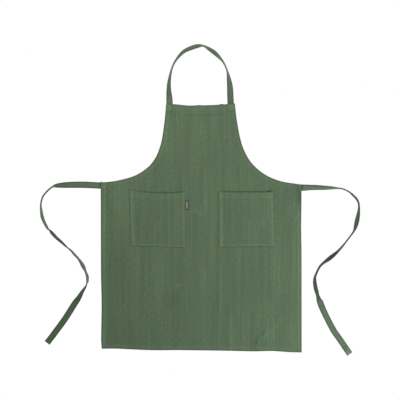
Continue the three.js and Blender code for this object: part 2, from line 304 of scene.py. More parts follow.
def add_cloth(name, front, back, material, cloth, tone):
    """Adds a closed sheet of two grids of points. Rows run along the cloth and columns across it."""
    rows, columns = front.shape[:2]
    count = rows * columns
    index = np.arange(count).reshape(rows, columns)
    quads = np.stack([index[:-1, :-1], index[:-1, 1:], index[1:, 1:], index[1:, :-1]], -1).reshape(-1, 4)
    rim = np.concatenate([index[0, :-1], index[:-1, -1], index[-1, :0:-1], index[:0:-1, 0]])
    onward = np.roll(rim, -1)
    walls = np.stack([rim, rim + count, onward + count, onward], -1)
    faces = np.concatenate([quads, quads[:, ::-1] + count, walls])
    points = np.concatenate([front.reshape(-1, 3), back.reshape(-1, 3)])
    measures = {"cloth": np.tile(cloth.reshape(-1, 3), (2, 1)), "tone": np.tile(tone.ravel(), 2)}
    return add_piece(name, points, faces, material, measures)


# %% Helpers for curves
def smooth_line(points, fineness=40):
    """Fine points of a centripetal Catmull-Rom curve through rows of numbers."""
    p = np.array(points, float)
    p = np.vstack([2 * p[0] - p[1], p, 2 * p[-1] - p[-2]])
    t = np.linspace(0, 1, fineness, endpoint=False)[:, None]
    stretches = []
    for p0, p1, p2, p3 in zip(p, p[1:], p[2:], p[3:]):
        d0, d1, d2 = (np.linalg.norm(b - a) ** 0.5 for a, b in ((p0, p1), (p1, p2), (p2, p3)))
        leave = d1 * ((p1 - p0) / d0 - (p2 - p0) / (d0 + d1) + (p2 - p1) / d1)
        arrive = d1 * ((p2 - p1) / d1 - (p3 - p1) / (d1 + d2) + (p3 - p2) / d2)
        square = 3 * (p2 - p1) - 2 * leave - arrive
        cube = 2 * (p1 - p2) + leave + arrive
        stretches.append(p1 + leave * t + square * t ** 2 + cube * t ** 3)
    return np.vstack([*stretches, p[-2]])


def lengths_along(line):
    """Distance of each point from the line's start, measured in plan."""
    steps = np.hypot(*np.diff(line[:, :2], axis=0).T)
    return np.concatenate([[0], np.cumsum(steps)])


def points_at(line, distances):
    """Points of a line, every column of it, at distances from its start."""
    here = lengths_along(line)
    return np.stack([np.interp(distances, here, column) for column in line.T], -1)


def tangents(line):
    """Unit directions along a line, in plan."""
    step = np.gradient(line[:, :2], lengths_along(line), axis=0)
    return step / np.hypot(*step.T)[:, None]


quarter = smooth_line([(1, 0), (math.sqrt(0.5), math.sqrt(0.5)), (0, 1)], 2)
print("a quarter circle through three points:", quarter.round(3).tolist())

# %% [markdown]
# ## The panel
#
# Bib and skirt are one cut, with narrow double hems down the sides, round the armholes and along the
# bottom, and a deep one along the bib's top. A grid whose rows run straight across would meet the
# armhole at a thin slant, and the hem would be ragged there. So the rows sag towards the waist and
# leave both edges nearly square. Columns crowd near the edges, where the hem needs them.

# %% Outline of the panel
CLOTH = 0.0014  # one wall, as high as the solid's
HEM = 0.0024
HEM_DEPTH = 0.012
BIB_HEM_DEPTH = 0.036
HEM_CORNERS = np.array([(-0.344, -0.5174), (0.354, -0.5306)])
BIB_SAG = 0.0055
WAIST_DIP = 0.140

ARMHOLES = np.array([  # left x and y, right x and y, from the waist corners up to the bib's corners
    (-0.3455, 0.061, 0.353, 0.054),
    (-0.291, 0.067, 0.280, 0.066),
    (-0.218, 0.089, 0.226, 0.089),
    (-0.166, 0.1305, 0.1785, 0.1305),
    (-0.139, 0.186, 0.1485, 0.186),
    (-0.124, 0.270, 0.1295, 0.270),
    (-0.1182, 0.334, 0.1215, 0.336),
])
armholes = [smooth_line(ARMHOLES[:, :2]), smooth_line(ARMHOLES[:, 2:])]
armhole_lengths = [lengths_along(line)[-1] for line in armholes]
print("armhole lengths:", [round(length, 3) for length in armhole_lengths])

# %% Rows of the panel
GRID_STEP = 0.0047
EDGE_CUTS = np.array([0, 0.3, 0.8, 1.6, 3, 5.5, 8, 9, 9.6, 10.2, 11, 12.5, 15, 19, 25]) / 1000
BIB_CUTS = np.array([0, 0.3, 0.8, 1.6, 3, 6, 12, 18, 24, 30, 33, 34, 34.6, 35.2, 36, 38, 41, 46]) / 1000
HEM_STITCH = 0.0096  # from the folded edge, one of the cuts
BIB_STITCH = 0.0346
FAR = 1.0  # the distance of an edge that is too far to matter

skirt_length = ARMHOLES[0, 1] - HEM_CORNERS[0, 1]
skirt_steps = round((skirt_length - EDGE_CUTS[-1]) / GRID_STEP)
from_hem = np.concatenate([EDGE_CUTS, np.linspace(EDGE_CUTS[-1], skirt_length, skirt_steps + 1)[1:]])
up_skirt = from_hem / skirt_length

bib_length = armhole_lengths[0]
bib_steps = round((bib_length - BIB_CUTS[-1]) / GRID_STEP)
from_top = np.concatenate([np.linspace(bib_length, BIB_CUTS[-1], bib_steps + 1)[1:-1], BIB_CUTS[::-1]])
up_bib = 1 - from_top / bib_length

edges, edge_tangents = [], []
for side in (0, 1):
    waist = ARMHOLES[0, 2 * side:2 * side + 2]
    skirt_edge = HEM_CORNERS[side] + (waist - HEM_CORNERS[side]) * up_skirt[:, None]
    bib_edge = points_at(armholes[side], up_bib * armhole_lengths[side])
    straight_up = np.tile((0.0, 1.0), (len(up_skirt), 1))
    edges.append(np.vstack([skirt_edge, bib_edge]))
    edge_tangents.append(np.vstack([straight_up, tangents(np.vstack([waist, bib_edge]))[1:]]))
dips = np.concatenate([WAIST_DIP * up_skirt ** 2, WAIST_DIP * (1 - up_bib) ** 2 + BIB_SAG * up_bib])
hem_distance = np.concatenate([from_hem, np.full(len(up_bib), FAR)])[:, None]
top_distance = np.concatenate([np.full(len(up_skirt), FAR), from_top])[:, None]
print("rows of the panel:", len(dips))

# %% Columns of the panel
PANEL_COLUMNS = 126

span = edges[1][:, 0] - edges[0][:, 0]
slant = 4 * dips / span
reach = [
    1 / np.abs(edge_tangents[0][:, 1] + slant * edge_tangents[0][:, 0]),
    1 / np.abs(edge_tangents[1][:, 1] - slant * edge_tangents[1][:, 0]),
]
left_cuts = EDGE_CUTS * (reach[0] / span)[:, None]
right_cuts = 1 - EDGE_CUTS[::-1] * (reach[1] / span)[:, None]
between = np.linspace(0, 1, PANEL_COLUMNS + 2)[1:-1]
middle = left_cuts[:, -1:] + (right_cuts[:, :1] - left_cuts[:, -1:]) * between
across = np.hstack([left_cuts, middle, right_cuts])
side_distance = np.concatenate([EDGE_CUTS, np.full(PANEL_COLUMNS, FAR), EDGE_CUTS[::-1]])[None, :]
from_left = np.concatenate([EDGE_CUTS, np.full(PANEL_COLUMNS + len(EDGE_CUTS), FAR)])[None, :]
from_right = from_left[:, ::-1]

flat = edges[0][:, None, :] + (edges[1] - edges[0])[:, None, :] * across[:, :, None]
panel_x = flat[:, :, 0]
panel_y = flat[:, :, 1] - dips[:, None] * 4 * across * (1 - across)
print("points of the panel's front:", panel_x.size)

# %% [markdown]
# A sewn edge is never quite straight: the bottom hem waves where it lies loose, the hem's end makes a
# small step in the bib's top edge, and the left corners are pulled a little. These moves fade out
# within a few centimetres.

# %% Waves of the outline
HEM_WAVES = (  # middle, half width and how far the edge moves up
    (-0.296, 0.050, 0.0010),
    (-0.165, 0.100, -0.0020),
    (0.080, 0.200, 0.0010),
    (0.250, 0.075, 0.0031),
)
BIB_WAVES = (
    (-0.088, 0.034, 0.0013),
    (-0.036, 0.028, -0.0010),
    (-0.004, 0.016, 0.0008),
)
SIDE_WAVES = (  # the same for the left and the right edge, and how far it moves to the right
    (-0.365, 0.125, 0.0020),
    (-0.094, 0.090, -0.0012),
)
BIB_STEP = (0.074, 0.013, 0.0017)  # where the hem's end stands up
CORNER_PULL = 0.0015
CORNER_HEIGHT = 0.035
WAIST_TIP_RISE = 0.0030
WAIST_TIP_REACH = 0.011
HEM_FADE, TOP_FADE, SIDE_FADE = 0.10, 0.03, 0.025  # how far from an edge its moves die away

near_hem = 1 - smooth(hem_distance, 0, HEM_FADE)
near_top = 1 - smooth(top_distance, 0, TOP_FADE)
near_left = 1 - smooth(from_left, 0, SIDE_FADE)
near_right = 1 - smooth(from_right, 0, SIDE_FADE)
for place, half, rise in HEM_WAVES:
    panel_y = panel_y + rise * bell(panel_x, place, half) * near_hem
for place, half, rise in (*BIB_WAVES, BIB_STEP):
    panel_y = panel_y + rise * bell(panel_x, place, half) * near_top
panel_x = panel_x + CORNER_PULL * (1 - smooth(hem_distance, 0, CORNER_HEIGHT)) * near_left
for (place, half, move), near_side in zip(SIDE_WAVES, (near_left, near_right)):
    panel_x = panel_x + move * bell(panel_y, place, half) * near_side
tip = np.hypot(panel_x - edges[0][len(up_skirt) - 1, 0], panel_y - ARMHOLES[0, 1])
panel_y = panel_y + WAIST_TIP_RISE * (1 - smooth(tip, 0, WAIST_TIP_REACH))
print("panel's width and length:", np.ptp(panel_x).round(4), np.ptp(panel_y).round(4))

# %% [markdown]
# ## Folds and height
#
# Laid flat, the cloth still rides over the strap ends that are sewn behind it, and keeps a few low
# folds and short wrinkles. A cloth simulation would settle such a sheet quite flat, so each fold is a
# hump from a short table instead. Gentle seeded waves between them keep the light on the cloth from
# being even.

# %% Folds, wrinkles and strap seats
STRAP_SEATS = (  # middle x and y of a strap's sewn end, and half its box
    (-0.106, 0.324, 0.014, 0.020),
    (0.107, 0.325, 0.014, 0.020),
    (-0.332, 0.050, 0.020, 0.014),
    (0.341, 0.043, 0.020, 0.014),
)
SEAT_LIFT = 0.0026
SEAT_RAMP = 0.042

FOLDS = (  # middle x and y, direction in degrees, half length, half width and rise
    (0.312, -0.006, 64, 0.092, 0.031, 0.0022),
    (-0.300, -0.020, 115, 0.080, 0.032, 0.0016),
    (-0.012, 0.225, 86, 0.095, 0.045, 0.0020),
    (-0.215, -0.470, 96, 0.100, 0.048, 0.0024),
    (0.225, -0.475, 82, 0.105, 0.046, 0.0024),
    (0.010, -0.330, 4, 0.210, 0.042, 0.0018),
)
WRINKLES = (
    (0.318, -0.012, 61, 0.062, 0.010, 0.0012),
    (0.290, 0.010, 52, 0.050, 0.009, 0.0009),
    (0.331, -0.060, 66, 0.060, 0.010, 0.0010),
    (0.202, -0.494, 70, 0.034, 0.009, 0.0018),
    (0.226, -0.464, 68, 0.042, 0.010, 0.0016),
    (0.262, -0.430, 50, 0.050, 0.012, 0.0012),
    (0.190, -0.420, 84, 0.090, 0.011, 0.0008),
    (-0.150, -0.468, 114, 0.024, 0.005, 0.0006),
    (-0.094, 0.305, 52, 0.020, 0.006, 0.0007),
    (0.160, 0.045, 84, 0.035, 0.006, 0.0006),
    (-0.318, 0.000, 105, 0.050, 0.008, 0.0006),
)


def humps(x, y, rows):
    """Sum of low oval humps, each with its own direction."""
    height = np.zeros_like(x)
    for place_x, place_y, turn, half_length, half_width, rise in rows:
        c, s = math.cos(math.radians(turn)), math.sin(math.radians(turn))
        along = ((x - place_x) * c + (y - place_y) * s) / half_length
        aside = ((y - place_y) * c - (x - place_x) * s) / half_width
        height += rise * (1 - smooth(np.hypot(along, aside), 0, 1))
    return height


def seat_lift(x, y):
    """Height over the strap ends behind the cloth."""
    lift = np.zeros_like(x)
    for place_x, place_y, half_x, half_y in STRAP_SEATS:
        out_x = np.maximum(0, np.abs(x - place_x) - half_x)
        out_y = np.maximum(0, np.abs(y - place_y) - half_y)
        lift = np.maximum(lift, SEAT_LIFT * (1 - smooth(np.hypot(out_x, out_y), 0, SEAT_RAMP)))
    return lift


print("folds and wrinkles:", len(FOLDS), len(WRINKLES))

# %% Gentle waves of the lying cloth
WAVE_COUNT = 18
WAVE_LENGTHS = (0.06, 0.22)
WAVE_RISE = 0.0011
WAVE_SPREAD = 0.55  # radians to either side of upright crests

POCKETS = (  # name, sag of the mouth, and the corners: top left, top right, bottom left, bottom right
    ("left", 0.0070, (-0.2468, 0.0352), (-0.0526, 0.0280), (-0.2412, -0.1595), (-0.0502, -0.1660)),
    ("right", 0.0010, (0.0632, 0.0287), (0.2548, 0.0280), (0.0652, -0.1642), (0.2590, -0.1611)),
)
POCKET_CLEAR = (0.002, 0.028)  # from a pocket to where the panel starts to wave, and waves fully

chance = np.random.default_rng(11)


def gentle_waves(x, y):
    """Seeded sum of long waves, mostly with upright crests, from 0 to about twice the rise."""
    height = np.zeros_like(x)
    for _ in range(WAVE_COUNT):
        length = chance.uniform(*WAVE_LENGTHS)
        angle = chance.normal(0, WAVE_SPREAD)
        phase = chance.uniform(0, 2 * math.pi)
        travel = (x * math.cos(angle) + y * math.sin(angle)) / length
        height += np.sin(2 * math.pi * travel + phase) * length
    return WAVE_RISE * (1 + height / np.abs(height).max())


def clear_of_pockets(x, y):
    """0 on the pockets' places, where the panel lies flat, and 1 well away from them."""
    clear = np.ones_like(x)
    for _, _, top_left, _, _, bottom_right in POCKETS:
        out_x = np.maximum(0, np.maximum(top_left[0] - x, x - bottom_right[0]))
        out_y = np.maximum(0, np.maximum(bottom_right[1] - y, y - top_left[1]))
        clear = np.minimum(clear, smooth(np.hypot(out_x, out_y), *POCKET_CLEAR))
    return clear


panel_lift = seat_lift(panel_x, panel_y) + humps(panel_x, panel_y, FOLDS)
unevenness = humps(panel_x, panel_y, WRINKLES) + gentle_waves(panel_x, panel_y)
panel_lift += unevenness * clear_of_pockets(panel_x, panel_y)
print("panel's lift in mm:", (1000 * panel_lift.min()).round(2), (1000 * panel_lift.max()).round(2))

# %% [markdown]
# ## Hems
#
# A double hem is three layers, about a millimetre thicker than the cloth. Its edge is a soft fold, so
# the thickness falls off there like the end of an ellipse. The stitches pull a groove into the front,
# and the cloth puckers a little between the groove and the fold.

# %% Thickness of the hemmed panel
HEM_ROLL = 0.0022
GROOVE_DEPTH = 0.0005
GROOVE_HALF = 0.0009
HEM_SLOPE = (-0.001, 0.0035)  # from the end of a hem: where the front starts to fall, and is down
TURNED_EDGE = 0.0008  # step on the back, where the turned layers end
TURN_STEP = (-0.0003, 0.0002)  # the same for that step
PUCKER_RISE = 0.00016
PUCKER_LENGTHS = (0.013, 0.019)
PUCKER_START = 0.004  # from the fold to where puckers are full


def rolled(distance, radius=HEM_ROLL):
    """Share of the thickness at a distance from a folded edge, which is round."""
    return np.sqrt(1 - np.clip(1 - distance / radius, 0, 1) ** 2)


def in_hem(distance, depth):
    """1 on a hem, falling to 0 just past it."""
    return 1 - smooth(distance - depth, *HEM_SLOPE)


def groove(distance, place):
    """Depth of the line that a row of stitches pulls into the cloth."""
    return GROOVE_DEPTH * np.exp(-((distance - place) / GROOVE_HALF) ** 2)


narrow_hem = np.minimum(side_distance, hem_distance)
nearest_edge = np.minimum(narrow_hem, top_distance)
hemmed = np.maximum(in_hem(narrow_hem, HEM_DEPTH), in_hem(top_distance, BIB_HEM_DEPTH))
thickness = CLOTH + (HEM - CLOTH) * hemmed
stitch_groove = np.maximum(groove(narrow_hem, HEM_STITCH), groove(top_distance, BIB_STITCH))
pucker = sum(np.sin(2 * math.pi * (panel_x + panel_y) / length) for length in PUCKER_LENGTHS)
pucker = PUCKER_RISE * pucker * hemmed * smooth(nearest_edge, 0, PUCKER_START)
roundness = rolled(nearest_edge)
turned = smooth(narrow_hem - HEM_DEPTH, *TURN_STEP) * smooth(top_distance - BIB_HEM_DEPTH, *TURN_STEP)

panel_front = panel_lift + thickness * (0.5 + 0.5 * roundness) - stitch_groove + pucker
panel_back = panel_lift + thickness * (0.5 - 0.5 * roundness) + TURNED_EDGE * turned
print("hem and cloth in mm:", 1000 * HEM, 1000 * CLOTH)

# %% [markdown]
# Light and shade are painted into the tone. The strip along a hem gets a painted highlight, and the
# folded edge beside it gets painted shade. The boxes that hold the strap ends get a painted highlight, and
# lines of painted shade and highlight follow creases and the pockets' edges. Broad places in between are
# drawn darker or paler, partly uneven fading and partly painted shade of low folds. It could be painted
# by hand. A few rows of places in metres do the same, and each can be moved alone.

# %% Painted highlights and shade, and faded places
TACKS = (  # sewn boxes over the strap ends: low corner, high corner and how much paler they are drawn, a painted highlight (painted shade below 0)
    (-0.1165, 0.3120, -0.0985, 0.3300, 0.22),
    (0.0985, 0.3130, 0.1185, 0.3320, 0.18),
    (-0.3430, 0.0390, -0.3265, 0.0595, 0.24),
    (0.3340, 0.0330, 0.3455, 0.0500, -0.10),
)
SHADE_AND_HIGHLIGHT_LINES = (  # middle x and y, degrees, half length, half width and how much darker, or paler below 0: painted shade along creases and beside the pockets' mouths and edges, painted highlights where below 0
    (0.346, 0.014, 90, 0.042, 0.026, 0.26),
    (0.3495, 0.042, 90, 0.018, 0.0045, -0.30),
    (0.1966, -0.494, 70, 0.020, 0.0058, 0.24),
    (0.219, -0.4646, 70, 0.024, 0.0070, 0.15),
    (0.3390, -0.5225, 90, 0.010, 0.0045, 0.60),
    (-0.068, 0.0285, 5, 0.026, 0.0045, 0.38),
    (0.2405, 0.0309, 8, 0.020, 0.0050, 0.75),
    (0.2585, 0.014, 91, 0.022, 0.0055, 0.20),
    (0.090, 0.0300, 0, 0.036, 0.0035, 0.18),
)
FADING_AND_SHADE = (  # the same for broad places drawn darker or paler than the rest, partly uneven fading and partly painted shade and light of low folds
    (-0.290, 0.000, 90, 0.200, 0.120, -0.10),
    (-0.240, -0.470, 0, 0.170, 0.110, 0.07),
    (0.325, -0.450, 90, 0.130, 0.060, -0.08),
    (0.165, -0.290, 90, 0.170, 0.045, 0.07),
    (-0.110, 0.200, 82, 0.130, 0.050, -0.08),
    (0.020, -0.290, 90, 0.190, 0.025, -0.06),
    (-0.032, -0.240, 90, 0.150, 0.022, 0.05),
    (0.0155, -0.277, 90, 0.090, 0.0100, -0.16),
    (-0.0770, -0.299, 20, 0.018, 0.014, -0.22),
    (-0.098, -0.355, 90, 0.055, 0.035, 0.10),
    (0.240, -0.460, 46, 0.062, 0.018, -0.09),
    (-0.006, -0.040, -20, 0.038, 0.015, -0.15),
    (-0.226, 0.015, 90, 0.120, 0.030, -0.09),
    (-0.146, -0.085, 80, 0.034, 0.018, -0.11),
    (0.219, -0.078, 96, 0.036, 0.013, -0.14),
    # Painted shade and painted highlight on the two sides of the line that it was folded on in store
    (0.0620, -0.335, 90, 0.200, 0.0065, 0.10),
    (0.0710, -0.335, 90, 0.200, 0.0065, -0.12),
)
print("tacks, creases and faded places:", len(TACKS), len(SHADE_AND_HIGHLIGHT_LINES), len(FADING_AND_SHADE))

# %% Tone of the panel
# Painted light and shade: highlights along the hems and the bib's top, shade along every folded edge and
# along the bib's seam
HEM_PALER = 0.32
HEM_SHARES = (0.45, 0.5)  # how much of that shows along the bottom and round the armholes
HEM_STRIP = (0.0050, 0.0075, 0.0120, 0.0150)  # from the edge: it starts, is full, wanes and ends
BIB_STRIP = (0.004, 0.006, 0.017, 0.021)
BIB_SHARE = 0.16
WAIST_END = 0.05  # the strip is fainter from the waist to this far below the middle of the frame
WAIST_SHARE = 0.3
RIGHT_PART = (0.315, 0.335)
RIGHT_PALER = 0.08
RIGHT_PALER_FROM = (0.02, 0.15)  # below the middle of the frame
EDGE_DARKER = 0.30
EDGE_SHADE = (0.001, 0.0045)
BIB_LINE = 0.20  # painted shade along the bib's seam, darkest where it is pulled tight
BIB_LINE_HALF = 0.003
BIB_LINE_LEAST = 0.2
BIB_PULL = (0.025, 0.055)
TACK_EDGE = (-0.001, 0.0015)  # across a box's side: where it starts, and is full
# painted shade in the stitched groove round each box
TACK_BORDER = 0.12
TACK_GROOVE = (-0.003, 0.004)
TACK_MARGIN = (0.003, 0.006)  # from the panel's edge to where the border shows
TACK_CLEAR = (-0.009, -0.003)  # the painted edge shade ends beside a box


def strip(distance, start, full, wane, end):
    """1 on a strip that lies between two distances, with soft borders."""
    return smooth(distance, start, full) * (1 - smooth(distance, wane, end))


def inside_box(x, y, low_x, low_y, high_x, high_y):
    """Distance inside a box from its nearest side, below 0 outside it."""
    return np.minimum(np.minimum(x - low_x, high_x - x), np.minimum(y - low_y, high_y - y))


# painted highlight on the raised strip along each hem and along the bib's top
hem_strip = strip(narrow_hem, *HEM_STRIP) * np.where(hem_distance < side_distance, HEM_SHARES[0], 1.0)
hem_strip = hem_strip * np.where(top_distance < FAR, HEM_SHARES[1], 1.0)
right_side = smooth(panel_x, *RIGHT_PART)
near_waist = 1 - smooth(-panel_y, 0, WAIST_END)
on_skirt = top_distance >= FAR
hem_strip = hem_strip * (1 - near_waist * np.where(panel_x > 0, right_side, WAIST_SHARE * on_skirt))
bib_strip = BIB_SHARE * strip(top_distance, *BIB_STRIP)
# painted shade along every folded edge
dark_edge = EDGE_DARKER * (1 - smooth(nearest_edge, *EDGE_SHADE))
panel_tone = 1 + HEM_PALER * np.maximum(hem_strip, bib_strip) - humps(panel_x, panel_y, SHADE_AND_HIGHLIGHT_LINES + FADING_AND_SHADE)
# painted light along the skirt's right edge below the waist
panel_tone += RIGHT_PALER * right_side * smooth(-panel_y, *RIGHT_PALER_FROM)
pulled = BIB_LINE_LEAST + bell(panel_x, *BIB_PULL)
panel_tone -= BIB_LINE * bell(top_distance, BIB_STITCH, BIB_LINE_HALF) * pulled
# painted highlight on each box, painted shade where below 0, and painted shade in its groove
for *box, paler in TACKS:
    depth = inside_box(panel_x, panel_y, *box)
    panel_tone += paler * smooth(depth, *TACK_EDGE)
    panel_tone -= TACK_BORDER * bell(depth, *TACK_GROOVE) * smooth(nearest_edge, *TACK_MARGIN)
    dark_edge = dark_edge * (1 - smooth(depth, *TACK_CLEAR))
panel_tone -= dark_edge
print("panel's tone:", panel_tone.min().round(2), panel_tone.max().round(2))

# %% Panel mesh
heights = (panel_front, panel_back, np.zeros_like(panel_x))
panel_grid, panel_under, panel_cut = (np.stack([panel_x, panel_y, height], -1) for height in heights)
panel = add_cloth("panel_cloth", panel_grid, panel_under, apron_canvas, panel_cut, panel_tone)
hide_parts("apron_panel")

# %% [markdown]
# ## Patch pockets
#
# Each pocket is a square of the same cloth with its edges turned under, sewn to the panel on three
# sides. Its mouth has a deep hem, sags in the middle and stands open a little, since the layers never
# lie quite flat. Where the turned edge lies under the cloth, a narrow strip is raised, and it gets a
# painted highlight. Painted shade runs round the pocket's rim.

# %% Pocket shape
PANEL_GAP = 0.0003
POCKET_GAPE = 0.0020
SIDE_RISE = 0.040  # from a side to where the pocket gapes fully
FOOT_RISE = 0.100
POCKET_WAVES = 0.7  # against those of the panel
POCKET_TURN = 0.009  # turned-under edge
POCKET_WALL = 0.0010  # the cloth alone
BAND_WALL = 0.0016  # with the mouth's hem
BAND_DEPTH = 0.020
POCKET_STITCH = 0.0024
BAND_STITCH = 0.0180
SEAM_CUTS = np.array([0, 0.3, 0.8, 1.6, 2.4, 3.2, 4.5, 6, 7.5, 9, 10.5, 13, 17]) / 1000
MOUTH_CUTS = np.array([0, 0.3, 0.8, 1.6, 3, 6, 10, 14, 16, 17.4, 18, 18.6, 20, 22, 25]) / 1000
POCKET_STEPS = 44


def cuts_between(length, near_start, near_end):
    """Distances from a start: cuts near it, even steps, and cuts near the end."""
    even = np.linspace(near_start[-1], length - near_end[-1], POCKET_STEPS + 1)[1:-1]
    return np.concatenate([near_start, even, length - near_end[::-1]])


def pocket_grid(sag, top_left, top_right, bottom_left, bottom_right):
    """Plan of a pocket, and the distances to its sides, foot and mouth."""
    corners = [np.array(corner) for corner in (bottom_left, bottom_right, top_left, top_right)]
    width = top_right[0] - top_left[0]
    depth = top_left[1] - bottom_left[1]
    aside = cuts_between(width, SEAM_CUTS, SEAM_CUTS)
    upward = cuts_between(depth, SEAM_CUTS, MOUTH_CUTS)
    u, v = np.meshgrid(aside / width, upward / depth)
    low_edge = corners[0] + (corners[1] - corners[0]) * u[:, :, None]
    high_edge = corners[2] + (corners[3] - corners[2]) * u[:, :, None]
    plan = low_edge + (high_edge - low_edge) * v[:, :, None]
    plan[:, :, 1] -= sag * v * 4 * u * (1 - u)
    return plan, np.minimum(u, 1 - u) * width, v * depth, (1 - v) * depth


def cut_at(cuts, place):
    """Number of the cut that is nearest to a place."""
    return int(np.argmin(np.abs(cuts - place)))


print("cuts near a pocket's seam and mouth:", len(SEAM_CUTS), len(MOUTH_CUTS))

# %% Tone of a pocket
# Painted highlights on the raised strips along the seams, on the mouth's band and on its stitch line, and
# painted shade round the rim, strongest on the left and at the foot, away from the light
SEAM_PALER = 0.15
STRIP_WIDTHS = (0.018, 0.010)  # painted highlight along the left and the right seam
STRIP_SHARES = (1.0, 1.5)
STRIP_FADE = 0.003
FOOT_STRIP = (0.006, 0.010)
FOOT_SHARE = 0.9
BAND_PALER = 0.06
BAND_LINE = 0.11
BAND_LINE_HALF = 0.004
RIM_DARKER = 0.32
RIM_SHADE = (0.0005, 0.0028)
RIM_REACH = 0.004
RIM_SHARES = (1.2, 1.0, 0.7)  # shares of the painted shade: along the left side and foot, along the mouth, and along the right side


def pocket_tone(plan, from_side, from_foot, from_mouth):
    """Tone of a pocket: painted highlights over its turned edges and its band, painted shade round its rim.
    """
    x, y = plan[:, :, 0], plan[:, :, 1]
    on_left = x < x.mean()
    width = np.where(on_left, *STRIP_WIDTHS)
    paler = SEAM_PALER * np.where(on_left, *STRIP_SHARES)
    tone = 1 + paler * (1 - smooth(from_side, width - STRIP_FADE, width))
    tone = np.maximum(tone, 1 + FOOT_SHARE * SEAM_PALER * (1 - smooth(from_foot, *FOOT_STRIP)))
    tone = tone + BAND_PALER * in_hem(from_mouth, BAND_DEPTH)
    tone = tone + BAND_LINE * bell(from_mouth, BAND_STITCH, BAND_LINE_HALF) - humps(x, y, FADING_AND_SHADE)
    left_or_foot = (x - x[:, :1] < RIM_REACH) | (from_foot < RIM_REACH)
    right_alone = (x[:, -1:] - x < RIM_REACH) & (from_foot > RIM_REACH) & (from_mouth > RIM_REACH)
    shaded = np.where(right_alone, RIM_SHARES[2], np.where(left_or_foot, *RIM_SHARES[:2]))
    nearest = np.minimum(np.minimum(from_side, from_foot), from_mouth)
    return tone - RIM_DARKER * shaded * (1 - smooth(nearest, *RIM_SHADE))


print("tone along a pocket's seams:", [round(1 + SEAM_PALER * share, 3) for share in STRIP_SHARES])

# %% Pocket meshes
CUT_PLACE = (0.7, 0.4)  # from the panel to where the pockets were cut, so that they have other streaks


def add_pocket(side, sag, *corners):
    """Adds one pocket and gives it back with its seam lines."""
    plan, from_side, from_foot, from_mouth = pocket_grid(sag, *corners)
    from_seam = np.minimum(from_side, from_foot)
    opened = smooth(from_side, POCKET_TURN, SIDE_RISE) * smooth(from_foot, POCKET_TURN, FOOT_RISE)
    lift = CLOTH + PANEL_GAP + POCKET_GAPE * opened
    waves = gentle_waves(plan[:, :, 0], plan[:, :, 1]) * smooth(from_seam, POCKET_TURN, SIDE_RISE)
    lift = lift + waves * POCKET_WAVES
    thick = POCKET_WALL + (BAND_WALL - POCKET_WALL) * in_hem(from_mouth, BAND_DEPTH)
    nearest = np.minimum(from_seam, from_mouth)
    dent = np.maximum(groove(from_seam, POCKET_STITCH), groove(from_mouth, BAND_STITCH))
    front = np.dstack([plan, lift + thick * (0.5 + 0.5 * rolled(nearest)) - dent])
    back = np.dstack([plan, lift + thick * (0.5 - 0.5 * rolled(nearest))])
    tone = pocket_tone(plan, from_side, from_foot, from_mouth)
    cut_from = np.dstack([plan + CUT_PLACE, np.zeros_like(lift)])
    piece = add_cloth(f"{side}_pocket_cloth", front, back, apron_canvas, cut_from, tone)
    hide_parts(f"pocket_{side}")
    seam = cut_at(SEAM_CUTS, POCKET_STITCH)
    mouth = -1 - cut_at(MOUTH_CUTS, BAND_STITCH)
    inner = slice(seam, -seam)
    return piece, [front[seam:, seam], front[seam, inner], front[seam:, -1 - seam], front[mouth, inner]]


pockets = {}
pocket_seams = {}
for side, *form in POCKETS:
    pockets[side], pocket_seams[side] = add_pocket(side, *form)

# %% [markdown]
# ## Straps
#
# The neck strap and the ties are strips folded to four layers and stitched along both edges. Lying
# loose, they roll onto an edge and back again, and that is what makes them wide, thin, light and dark
# along their way. So a route gives the strap's middle and its roll, and a flat section with soft edges
# is swept along it. At each place the section is set down so that its lowest point touches the floor.

# %% Routes of the straps
NECK_ROUTE = (  # middle x and y, and roll in degrees: 0 is front face up, 90 and -90 stand on an edge
    (-0.106, 0.312, 0), (-0.106, 0.341, 0), (-0.107, 0.360, -22), (-0.1085, 0.381, -44),
    (-0.1075, 0.409, -58), (-0.103, 0.437, -71), (-0.095, 0.465, -77), (-0.0795, 0.492, -70),
    (-0.055, 0.517, -56), (-0.024, 0.531, -48), (-0.008, 0.5355, -52), (0.012, 0.536, -74),
    (0.0295, 0.5265, -58), (0.050, 0.5125, -48), (0.0705, 0.4925, -65), (0.084, 0.474, -77),
    (0.094, 0.451, -77), (0.100, 0.423, -52), (0.104, 0.395, -27), (0.1055, 0.367, -8),
    (0.1065, 0.341, 0), (0.1075, 0.313, 0),
)
LEFT_TIE_ROUTE = (
    (-0.321, 0.050, 0), (-0.349, 0.0505, 0), (-0.402, 0.053, 0), (-0.4575, 0.0525, -19),
    (-0.4855, 0.051, -41), (-0.500, 0.0495, -55), (-0.514, 0.045, -81), (-0.532, 0.030, -82),
    (-0.547, 0.010, -83), (-0.553, -0.014, -84), (-0.552, -0.036, -72), (-0.5485, -0.059, -65),
    (-0.5405, -0.079, -69), (-0.530, -0.098, -74), (-0.5213, -0.1066, -107), (-0.5137, -0.1159, -120),
    (-0.4995, -0.131, -118), (-0.485, -0.1435, -114), (-0.465, -0.162, -103), (-0.4575, -0.1682, -91),
    (-0.449, -0.175, -79), (-0.437, -0.189, -74), (-0.422, -0.205, -74), (-0.406, -0.231, -58),
    (-0.398, -0.248, -75), (-0.3915, -0.267, -68), (-0.3915, -0.284, -74), (-0.3942, -0.292, -90),
    (-0.397, -0.300, -103), (-0.4075, -0.316, -118), (-0.422, -0.341, -143), (-0.435, -0.359, -164),
    (-0.469, -0.4125, -170), (-0.499, -0.454, -169), (-0.5318, -0.4974, -167),
)
